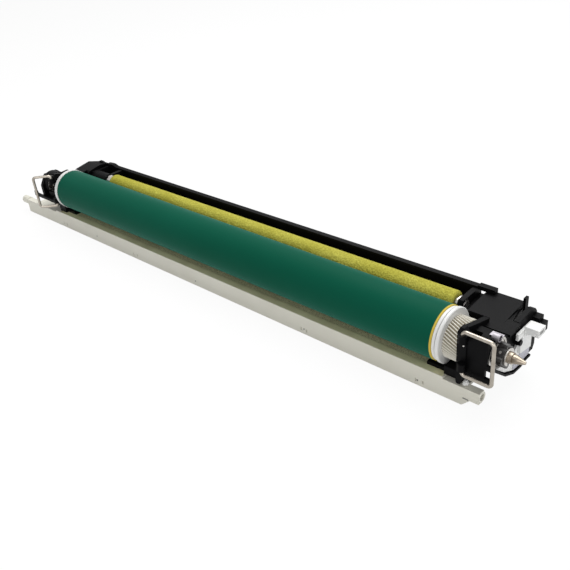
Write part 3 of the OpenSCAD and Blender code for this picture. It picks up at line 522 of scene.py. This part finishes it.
def makeTube(s):
    low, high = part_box("drum_tube")
    outer, c = high.z, s["edge"]
    inner, uncoated = outer - s["wall"], outer - s["coat"]
    bare = high.x - s["bare"]
    profile = [
        (low.x, inner), (low.x, outer - c), (low.x + c, outer), (bare - s["fade"], outer),
        (bare + s["fade"], uncoated), (high.x - c, uncoated), (high.x, outer - c), (high.x, inner),
    ]
    bm = bmesh.new()
    spinAlongX(bm, profile, s["turns"])
    bmesh.ops.recalc_face_normals(bm, faces=bm.faces)
    shadeSmooth(bm, s["crease"])
    mesh = keepMesh(bm, "drumTube")
    coating = materials["drum_coating"]
    addPiece("drum_tube_turned", mesh, "drum", "drum_coating", coating, "drum_tube")


makeTube(tubeSettings)
print("drum tube made")

# Foam roller: a turned sleeve whose skin is moved a little by noise, as cut foam is
foamSettings = {
    "around": 72,
    "step": 0.0012,  # m between rings
    "bore": 0.0026,
    "round": 0.0012,
    "shoulder": 0.3,  # share of the rounding at its middle point
    "wave": 0.00008,  # m
    "waves": ((420, 0.6), (130, 0.4)),  # scale and share of each noise
    "waveMiddle": 0.5,
    "skinFrom": 1.2,  # bores from the axis, so that the bore stays round
}


def makeFoam(s):
    low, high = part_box("foam_roller")
    middle = (low + high) / 2
    r = (high.z - low.z) / 2
    bore, c = s["bore"], s["round"]
    k = c * s["shoulder"]
    count = int((high.x - low.x) / s["step"])
    straight = high.x - low.x - 2 * c
    profile = [(low.x, bore), (low.x, r - c), (low.x + k, r - k), (low.x + c, r)]
    profile += [(low.x + c + straight * n / count, r) for n in range(1, count)]
    profile += [(high.x - c, r), (high.x - k, r - k), (high.x, r - c), (high.x, bore)]
    bm = bmesh.new()
    spinAlongX(bm, profile, s["around"], middle.y, middle.z)
    for v in bm.verts:
        out = Vector((0, v.co.y - middle.y, v.co.z - middle.z))
        if out.length > bore * s["skinFrom"]:
            lift = sum(noise.noise(v.co * scale) * share for scale, share in s["waves"])
            v.co += out.normalized() * (lift - s["waveMiddle"]) * s["wave"]
    bmesh.ops.recalc_face_normals(bm, faces=bm.faces)
    shadeSmooth(bm)
    foam = materials["yellow_foam"]
    piece = addPiece("foam_sleeve", keepMesh(bm, "foamSleeve"), "roller", "yellow_foam", foam,
                     "foam_roller")


makeFoam(foamSettings)
print("foam roller made")

# Grid: one thin etched sheet, and a border strip of it that lies over the case's ledge
gridSettings = {
    "front": -0.0116,  # y of the strip's front edge
    "ledge": -0.0176,  # z of the case's ledge
    "over": 0.00012,
    "sheet": 0.0001,
    "inset": 0.0002,
    "stripEnd": 0.0051,  # past the drum tube's end
}


def makeGrid(s):
    low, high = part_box("charger_grid")
    y, t = low.y + s["inset"], s["sheet"]
    ledge = s["ledge"] + s["over"]
    bm = bmesh.new()
    addPrism(bm, low.x, high.x, [
        (y, ledge - t), (y + t, ledge - t), (y + 2 * t, high.z), (high.y, high.z),
        (high.y, high.z - t), (y, high.z - t),
    ])
    addPrism(bm, low.x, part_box("drum_tube")[1].x + s["stripEnd"], [
        (s["front"], ledge), (y, ledge), (y, ledge - t), (s["front"], ledge - t),
    ])
    grid = "charger_grid"
    addPiece("grid_sheet", keepMesh(bm, "gridSheet"), bodyOf[grid], slotOf[grid], gridMesh, grid)


makeGrid(gridSettings)
print("grid made")

# Drum gear: a turned body, then a ring of tooth outlines carried along the helix
gearSettings = {
    "turns": 160,
    "bore": 0.00302,
    "hub": 0.0055,
    "web": 0.002,
    "spigot": (0.0132, 0.01398),  # inner and outer radius, inside the tube
    "disc": 0.0145,
    "discEdge": 0.0003,
    "grooveEdge": 0.0002,
    "groove": 0.0138,
    "grooveWidth": 0.0005,
    "collar": 0.0151,
    "collarWidth": 0.0019,
    "collarEdge": 0.0004,
    "foot": 0.0106,
    "teeth": 44,
    "tip": 0.0115,
    "root": 0.01042,
    "pitch": 0.011,
    "helix": 21.0,  # degrees
    "face": 0.0085,
    "overlap": 0.0002,
    "slices": 14,
    "share": (0.0, 0.10, 0.17, 0.25, 0.33, 0.41, 0.5, 0.59, 0.67, 0.75, 0.83, 0.90),
    "height": (0.0, 0.0, 0.06, 0.38, 0.78, 1.0, 1.0, 1.0, 0.78, 0.38, 0.06, 0.0),
    "rim": 0.0086,  # radius of the recess in the gear's end
    "rimSegments": 88,
    "recess": 0.004,
    "bodyCrease": 30,  # degrees
    "toothCrease": 38,
}


def makeFlangeBody(s, gearStart):
    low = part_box("gear_flange")[0]
    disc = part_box("drum_tube")[1].x
    web = disc - s["web"]
    collar = gearStart - s["collarWidth"]
    groove = collar - s["grooveWidth"]
    inner, outer = s["spigot"]
    edge, lip = s["discEdge"], s["grooveEdge"]
    profile = [
        (low.x, s["bore"]), (low.x, s["hub"]), (web, s["hub"]), (web, inner), (low.x, inner),
        (low.x, outer), (disc, outer), (disc, s["disc"] - edge),
        (disc + edge, s["disc"]), (groove - lip, s["disc"]), (groove, s["disc"] - lip),
        (groove, s["groove"]), (collar, s["groove"]), (collar, s["collar"] - edge),
        (collar + edge, s["collar"]), (gearStart - s["collarEdge"], s["collar"]),
        (gearStart, s["collar"] - s["collarEdge"]), (gearStart, s["foot"]), (gearStart, s["bore"]),
    ]
    bm = bmesh.new()
    spinAlongX(bm, profile, s["turns"])
    bmesh.ops.recalc_face_normals(bm, faces=bm.faces)
    shadeSmooth(bm, s["bodyCrease"])
    return keepMesh(bm, "flangeBody")


def extrudeRing(bm, edges, distance):  # carries a ring of edges along X and returns the new ring
    made = bmesh.ops.extrude_edge_only(bm, edges=edges)["geom"]
    verts = [g for g in made if isinstance(g, bmesh.types.BMVert)]
    bmesh.ops.translate(bm, verts=verts, vec=(distance, 0, 0))
    return verts, [g for g in made if isinstance(g, bmesh.types.BMEdge)]


def circleAcrossX(bm, x, radius, segments):
    place = Matrix.Translation((x, 0, 0)) @ Matrix.Rotation(math.pi / 2, 4, "Y")
    made = bmesh.ops.create_circle(bm, segments=segments, radius=radius, matrix=place)
    return list(dict.fromkeys(edge for v in made["verts"] for edge in v.link_edges))


def makeGearFlange(s):
    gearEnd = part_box("gear_flange")[1].x
    gearStart = gearEnd - s["face"]
    body = makeFlangeBody(s, gearStart)

    bm = bmesh.new()
    outline = []
    for k in range(s["teeth"]):
        for share, height in zip(s["share"], s["height"]):
            a = (k + share - 0.5) * math.tau / s["teeth"]
            r = s["root"] + (s["tip"] - s["root"]) * height
            place = (gearStart - s["overlap"], r * math.cos(a), r * math.sin(a))
            outline.append(bm.verts.new(place))
    loop = [bm.edges.new((a, b)) for a, b in zip(outline, outline[1:] + outline[:1])]
    length = gearEnd - gearStart + s["overlap"]
    twist = length * math.tan(math.radians(s["helix"])) / s["pitch"]
    turn = Matrix.Rotation(twist / s["slices"], 3, "X")
    for _ in range(s["slices"]):
        verts, loop = extrudeRing(bm, loop, length / s["slices"])
        bmesh.ops.rotate(bm, verts=verts, cent=(0, 0, 0), matrix=turn)
    rim = circleAcrossX(bm, gearEnd, s["rim"], s["rimSegments"])
    bmesh.ops.bridge_loops(bm, edges=loop + rim)
    inner = extrudeRing(bm, rim, -s["recess"])[1]
    hub = circleAcrossX(bm, gearEnd - s["recess"], s["bore"], s["rimSegments"])
    bmesh.ops.bridge_loops(bm, edges=inner + hub)
    bmesh.ops.recalc_face_normals(bm, faces=bm.faces)
    shadeSmooth(bm, s["toothCrease"])
    toothFaces = len(bm.faces)
    bm.from_mesh(body)
    mesh = keepMesh(bm, "gearFlange")
    bpy.data.meshes.remove(body)
    addPiece("gear_flange_moulded", mesh, "drum", "white_moulding", materials["white_moulding"],
             "gear_flange")
    mesh.materials.append(gearWhite)
    for face in mesh.polygons[:toothFaces]:
        face.material_index = 1


makeGearFlange(gearSettings)
print("gear flange made")

# Small trim: a pin and a ring boss on the drive panel, marks on the rail, and two grey pieces that
# are painted shade: a bar in the rail's recess and a patch on the end plate
trimSettings = {
    "turns": 28,
    "dome": (0.85, 0.2),  # flat share of the radius, and bevelled share of the depth
    "pin": {"place": (0.3944, -0.01255, 0.0064), "radius": 0.0006, "depth": 0.0008},
    "ring": {"place": (0.3945, -0.01255, -0.0026), "radius": 0.0011, "depth": 0.0008,
             "bore": 0.0006},
    "dots": [(0.3686, -0.0266), (0.2897, -0.0262), (0.0763, -0.0252), (0.1922, -0.0263)],
    "dotRadius": 0.00042,
    "proud": 0.00004,
    "sunk": 0.0004,
    "recess": (0.3967, -0.0251),
    "recessHalf": (0.0016, 0.0002),
    # outline of the grey patch of painted shade on the end plate
    "shadePatch": [(0.0135, -0.0157), (0.0205, -0.0118), (0.0262, -0.0100), (0.0304, -0.0092),
             (0.0304, -0.0176), (0.0258, -0.0177), (0.0212, -0.0189), (0.0142, -0.0183)],
    "shadePatchHalf": 0.0003,
}


def turnedMesh(s, name, place, radius, depth, bore=0.0):
    flat, bevelled = s["dome"]
    profile = [(bore, 0), (radius * flat, 0), (radius, -depth * bevelled), (radius, -depth),
               (bore, -depth)]
    bm = bmesh.new()
    ring = [bm.verts.new((r, 0, z)) for r, z in profile]
    edges = [bm.edges.new((a, b)) for a, b in zip(ring, ring[1:])]
    bmesh.ops.spin(bm, geom=ring + edges, cent=(0, 0, 0), axis=(0, 0, 1), angle=math.tau,
                   steps=s["turns"], use_merge=True)
    bmesh.ops.remove_doubles(bm, verts=bm.verts, dist=mergeGap)
    facing = Matrix.Translation(place) @ Matrix.Rotation(math.pi / 2, 4, "X")
    bmesh.ops.transform(bm, verts=bm.verts, matrix=facing)
    bmesh.ops.recalc_face_normals(bm, faces=bm.faces)
    return keepMesh(bm, name)


def makeTrim(s):
    def addTrim(name, mesh, carrier, slot, material=None):
        addPiece(name, mesh, bodyOf[carrier], slot, material or materials[slot])

    addTrim("panel_pin", turnedMesh(s, "panel_pin", **s["pin"]), "drive_frame", "shaft_steel")
    addTrim("panel_ring", turnedMesh(s, "panel_ring", **s["ring"]), "drive_frame", "black_plastic")
    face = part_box("charger_case")[0].y
    front, back = face - s["proud"], face + s["sunk"]
    for k, (x, z) in enumerate(s["dots"]):
        name = "rail_dot" + str(k)
        dot = turnedMesh(s, name, (x, front, z), s["dotRadius"], s["sunk"])
        addTrim(name, dot, "charger_case", "grey_plastic")
    # painted shade: a grey bar flush with the rail's face where it has a small recess
    x, z = s["recess"]
    along, up = s["recessHalf"]
    bm = bmesh.new()
    addPrism(bm, x - along, x + along, [(front, z - up), (back, z - up), (back, z + up),
                                        (front, z + up)])
    addTrim("rail_recess_shade", keepMesh(bm, "railRecessShade"), "charger_case", "grey_plastic")
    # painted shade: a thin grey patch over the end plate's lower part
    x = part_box("end_plate")[1].x
    bm = bmesh.new()
    addPrism(bm, x - s["shadePatchHalf"], x + s["shadePatchHalf"], s["shadePatch"])
    addTrim("plate_shade_patch", keepMesh(bm, "plateShadePatch"), "end_plate", "white_moulding", shadePatchGrey)


makeTrim(trimSettings)
print("trim made")

for node, piece in frame["nodes"].items():  # nodes that stay as they are take their slot's finish
    if not piece.hide_render:
        piece.data.materials.clear()
        piece.data.materials.append(materials[slotOf[node]])

# Floor, lights and a plain white surrounding
stageSettings = {
    "floor": 6.0,
    "floorX": 0.2,
    "floorGap": 0.0001,
    "floorColour": (0.86, 0.86, 0.86, 1),
    "floorGlow": 0.93,
    "surround": 0.30,
    "shine": 0.8,
    "lamps": [  # name, place, target, size, watts
        ("topLamp", (0.17, 0.45, 1.02), (0.20, 0.0, 0.0), 1.1, 18.5),
        ("frontLamp", (0.70, -1.10, 0.60), (0.22, 0.0, 0.0), 1.0, 6.0),
        ("endLamp", (1.20, -0.10, 0.40), (0.38, 0.0, 0.0), 0.6, 2),
    ],
}


def makeFloor(s):
    bm = bmesh.new()
    bmesh.ops.create_grid(bm, x_segments=1, y_segments=1, size=s["floor"] / 2)
    bmesh.ops.translate(bm, verts=bm.verts, vec=(s["floorX"], 0, cadBox[0].z - s["floorGap"]))
    mesh = keepMesh(bm, "floor")
    floor = bpy.data.objects.new("floor", mesh)
    bpy.context.scene.collection.objects.link(floor)
    mat, tree, shader = startMaterial("floorWhite", Roughness=0.9, Base_Color=s["floorColour"])
    glow = tree.nodes.new("ShaderNodeEmission")
    glow.inputs["Strength"].default_value = 1.0
    rays = tree.nodes.new("ShaderNodeLightPath").outputs
    seen = combined(tree, "MAXIMUM", rays["Is Camera Ray"], rays["Is Glossy Ray"])
    seen = combined(tree, "MAXIMUM", seen, rays["Is Transmission Ray"])
    mixed = tree.nodes.new("ShaderNodeMixShader")
    feed(tree, mixed.inputs[0], combined(tree, "MULTIPLY", seen, s["floorGlow"]))
    feed(tree, mixed.inputs[1], shader.outputs[0])
    feed(tree, mixed.inputs[2], glow.outputs[0])
    feed(tree, tree.nodes["Material Output"].inputs["Surface"], mixed.outputs[0])
    mesh.materials.append(mat)


def makeSurround(s):
    world = bpy.data.worlds.new("surround")
    bpy.context.scene.world = world
    world.use_nodes = True
    tree = world.node_tree
    back = tree.nodes["Background"]
    back.inputs["Color"].default_value = (1, 1, 1, 1)
    rays = tree.nodes.new("ShaderNodeLightPath").outputs
    seen = combined(tree, "MAXIMUM", rays["Is Camera Ray"], rays["Is Transmission Ray"])
    amount = level(tree, seen, s["surround"], 1.0)
    shine = combined(tree, "MULTIPLY", rays["Is Glossy Ray"], s["shine"])
    feed(tree, back.inputs["Strength"], combined(tree, "MAXIMUM", amount, shine))


def makeLamps(s):
    for name, place, target, size, power in s["lamps"]:
        data = bpy.data.lights.new(name, "AREA")
        data.shape, data.size, data.energy = "SQUARE", size, power
        lamp = bpy.data.objects.new(name, data)
        bpy.context.scene.collection.objects.link(lamp)
        lamp.location = place
        aim = Vector(target) - Vector(place)
        lamp.rotation_euler = aim.to_track_quat("-Z", "Y").to_euler()


makeFloor(stageSettings)
makeSurround(stageSettings)
makeLamps(stageSettings)
print("stage and lamps set")

bpy.context.scene.view_settings.view_transform = "Standard"
